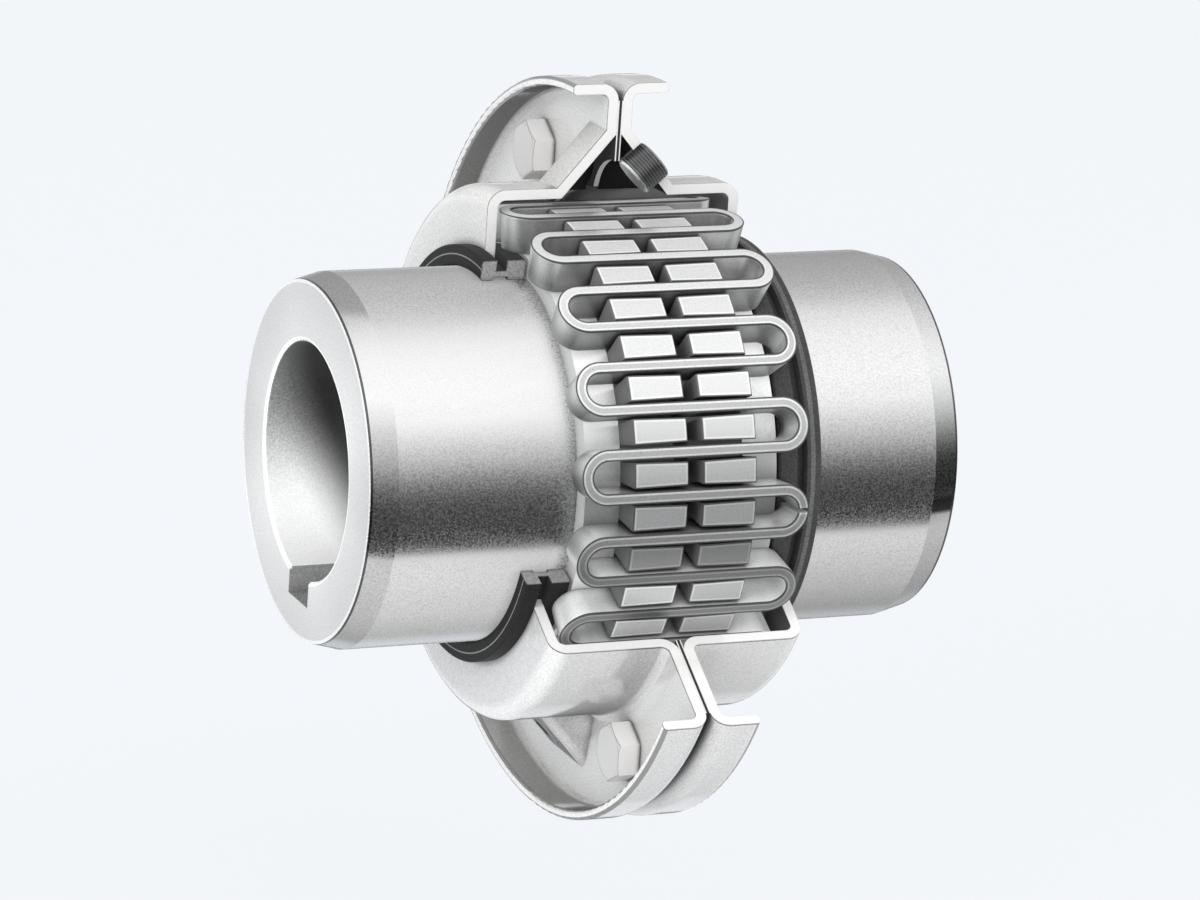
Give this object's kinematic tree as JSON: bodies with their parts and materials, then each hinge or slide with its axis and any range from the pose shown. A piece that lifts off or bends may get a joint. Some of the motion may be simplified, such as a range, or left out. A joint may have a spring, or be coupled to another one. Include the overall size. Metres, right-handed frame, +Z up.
{
  "type": "tapered grid shaft coupling",
  "caption": "Flexible shaft coupling: two toothed hubs joined by a serpentine grid spring inside a split steel cover, with a sector of the cover cut away to show the spring.",
  "frame": {"origin": "on the shaft axis, in the middle of the gap between the two hubs", "axes": "X along the shaft from the left hub to the right hub, Z up through the upper grease boss, -Y the side where the cover is cut open"},
  "size_m": [0.1462, 0.162, 0.174],
  "materials": {
    "hub_steel": "turned, satin",
    "spring_steel": "bright, smooth",
    "cover_sheet": "satin",
    "gasket_sheet": "matte",
    "seal_rubber": "matte",
    "plug_steel": "black oxide",
    "bolt_steel": "plated"
  },
  "bodies": {
    "hub_left": {"hub_left": "hub_steel"},
    "hub_right": {"hub_right": "hub_steel"},
    "grid": {"grid": "spring_steel"},
    "cover": {"cover_left": "cover_sheet", "cover_right": "cover_sheet", "gasket": "gasket_sheet", "seal_left": "seal_rubber", "seal_right": "seal_rubber", "grease_plug_upper": "plug_steel", "grease_plug_lower": "plug_steel", "bolt_top": "bolt_steel", "lock_washer_top": "bolt_steel", "nut_top": "bolt_steel", "bolt_rear": "bolt_steel", "lock_washer_rear": "bolt_steel", "nut_rear": "bolt_steel", "bolt_bottom": "bolt_steel", "lock_washer_bottom": "bolt_steel", "nut_bottom": "bolt_steel", "bolt_front": "bolt_steel", "lock_washer_front": "bolt_steel", "nut_front": "bolt_steel"}
  },
  "joints": [
    {"name": "wind_up", "type": "hinge", "parent": "hub_left", "child": "hub_right", "pos_m": [0, 0, 0], "axis": [1, 0, 0], "range_deg": [-1, 1], "stiffness_Nm_per_rad": 2000},
    {"name": "grid_follow", "type": "hinge", "parent": "hub_left", "child": "grid", "pos_m": [0, 0, 0], "axis": [1, 0, 0], "range_deg": [-0.5, 0.5]},
    {"name": "cover_turn", "type": "hinge", "parent": "hub_left", "child": "cover", "pos_m": [0, 0, 0], "axis": [1, 0, 0], "continuous": true}
  ],
  "couplings": [
    {"joint": "grid_follow", "follows": "wind_up", "ratio": 0.5}
  ]
}
